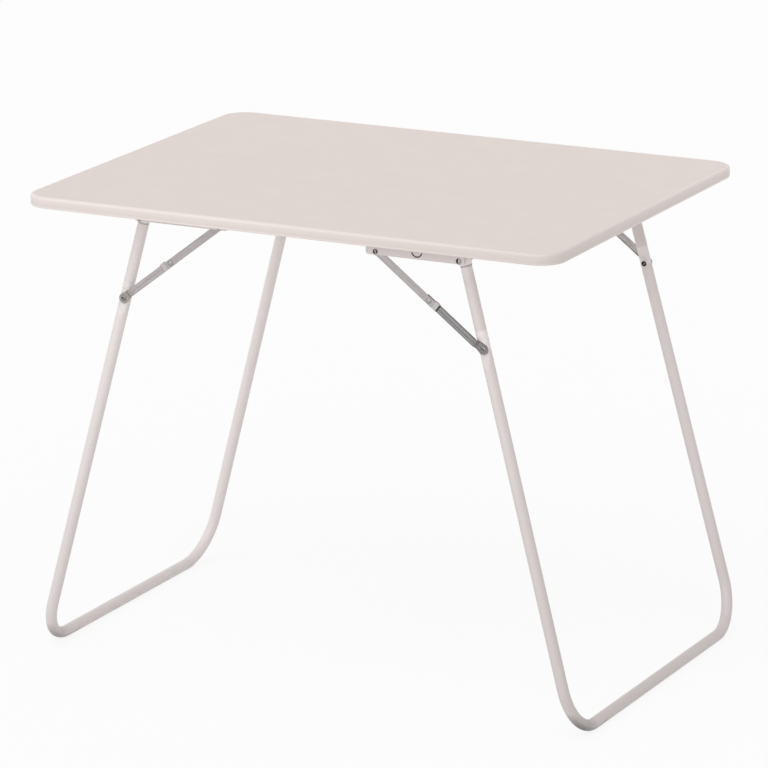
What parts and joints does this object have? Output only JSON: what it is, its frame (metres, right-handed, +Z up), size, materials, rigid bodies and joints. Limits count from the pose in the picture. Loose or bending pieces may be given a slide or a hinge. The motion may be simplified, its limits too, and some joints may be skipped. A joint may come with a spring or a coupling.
{
  "type": "folding camping table",
  "caption": "Rectangular table with rounded corners on two bent-tube legs that fold flat beneath it, held open by folding stays.",
  "frame": {"origin": "on the floor under the middle of the table top", "axes": "+X along the table top towards the wider leg frame, +Y towards the back, +Z up"},
  "size_m": [0.8644, 0.62, 0.68],
  "materials": {
    "core": "raw",
    "laminate": "fine satin",
    "lipping": "satin",
    "frame_paint": "satin powder coat",
    "zinc": "zinc plated",
    "rivet_steel": "bright plated"
  },
  "bodies": {
    "table_top": {"board_core": "core", "top_laminate": "laminate", "bottom_laminate": "laminate", "edge_lipping": "lipping", "right_front_bracket": "frame_paint", "right_back_bracket": "frame_paint", "left_front_bracket": "frame_paint", "left_back_bracket": "frame_paint", "bracket_screws": "rivet_steel", "leg_pivot_pins": "rivet_steel", "pivot_spacers": "zinc", "stay_top_rivets": "rivet_steel"},
    "right_leg": {"right_leg_tube": "frame_paint", "right_stay_foot_rivets": "rivet_steel"},
    "left_leg": {"left_leg_tube": "frame_paint", "left_stay_foot_rivets": "rivet_steel"},
    "right_front_upper_link": {"right_front_upper_link": "zinc", "right_front_knuckle_head": "rivet_steel"},
    "right_front_lower_link": {"right_front_lower_link": "zinc", "right_front_knuckle_tail": "rivet_steel"},
    "right_back_upper_link": {"right_back_upper_link": "zinc", "right_back_knuckle_head": "rivet_steel"},
    "right_back_lower_link": {"right_back_lower_link": "zinc", "right_back_knuckle_tail": "rivet_steel"},
    "left_front_upper_link": {"left_front_upper_link": "zinc", "left_front_knuckle_head": "rivet_steel"},
    "left_front_lower_link": {"left_front_lower_link": "zinc", "left_front_knuckle_tail": "rivet_steel"},
    "left_back_upper_link": {"left_back_upper_link": "zinc", "left_back_knuckle_head": "rivet_steel"},
    "left_back_lower_link": {"left_back_lower_link": "zinc", "left_back_knuckle_tail": "rivet_steel"}
  },
  "joints": [
    {"name": "right_leg_fold", "type": "hinge", "parent": "table_top", "child": "right_leg", "pos_m": [0.252, 0, 0.6505], "axis": [0, 1, 0], "range_deg": [0, 105]},
    {"name": "left_leg_fold", "type": "hinge", "parent": "table_top", "child": "left_leg", "pos_m": [-0.252, 0, 0.6505], "axis": [0, -1, 0], "range_deg": [0, 105]},
    {"name": "right_front_upper_link_swing", "type": "hinge", "parent": "table_top", "child": "right_front_upper_link", "pos_m": [0.128, -0.2768, 0.6505], "axis": [0, -1, 0], "range_deg": [0, 37.5]},
    {"name": "right_front_lower_link_swing", "type": "hinge", "parent": "right_leg", "child": "right_front_lower_link", "pos_m": [0.28409, -0.2753, 0.53073], "axis": [0, 1, 0], "range_deg": [0, 37.5]},
    {"name": "right_back_upper_link_swing", "type": "hinge", "parent": "table_top", "child": "right_back_upper_link", "pos_m": [0.128, 0.2768, 0.6505], "axis": [0, -1, 0], "range_deg": [0, 37.5]},
    {"name": "right_back_lower_link_swing", "type": "hinge", "parent": "right_leg", "child": "right_back_lower_link", "pos_m": [0.28409, 0.2753, 0.53073], "axis": [0, 1, 0], "range_deg": [0, 37.5]},
    {"name": "left_front_upper_link_swing", "type": "hinge", "parent": "table_top", "child": "left_front_upper_link", "pos_m": [-0.128, -0.2453, 0.6505], "axis": [0, 1, 0], "range_deg": [0, 37.5]},
    {"name": "left_front_lower_link_swing", "type": "hinge", "parent": "left_leg", "child": "left_front_lower_link", "pos_m": [-0.28409, -0.2438, 0.53073], "axis": [0, -1, 0], "range_deg": [0, 37.5]},
    {"name": "left_back_upper_link_swing", "type": "hinge", "parent": "table_top", "child": "left_back_upper_link", "pos_m": [-0.128, 0.2453, 0.6505], "axis": [0, 1, 0], "range_deg": [0, 37.5]},
    {"name": "left_back_lower_link_swing", "type": "hinge", "parent": "left_leg", "child": "left_back_lower_link", "pos_m": [-0.28409, 0.2438, 0.53073], "axis": [0, -1, 0], "range_deg": [0, 37.5]}
  ],
  "couplings": [
    {"joint": "right_front_upper_link_swing", "follows": "right_leg_fold", "ratio": 0.35714},
    {"joint": "right_front_lower_link_swing", "follows": "right_leg_fold", "ratio": 0.35714},
    {"joint": "right_back_upper_link_swing", "follows": "right_leg_fold", "ratio": 0.35714},
    {"joint": "right_back_lower_link_swing", "follows": "right_leg_fold", "ratio": 0.35714},
    {"joint": "left_front_upper_link_swing", "follows": "left_leg_fold", "ratio": 0.35714},
    {"joint": "left_front_lower_link_swing", "follows": "left_leg_fold", "ratio": 0.35714},
    {"joint": "left_back_upper_link_swing", "follows": "left_leg_fold", "ratio": 0.35714},
    {"joint": "left_back_lower_link_swing", "follows": "left_leg_fold", "ratio": 0.35714}
  ]
}
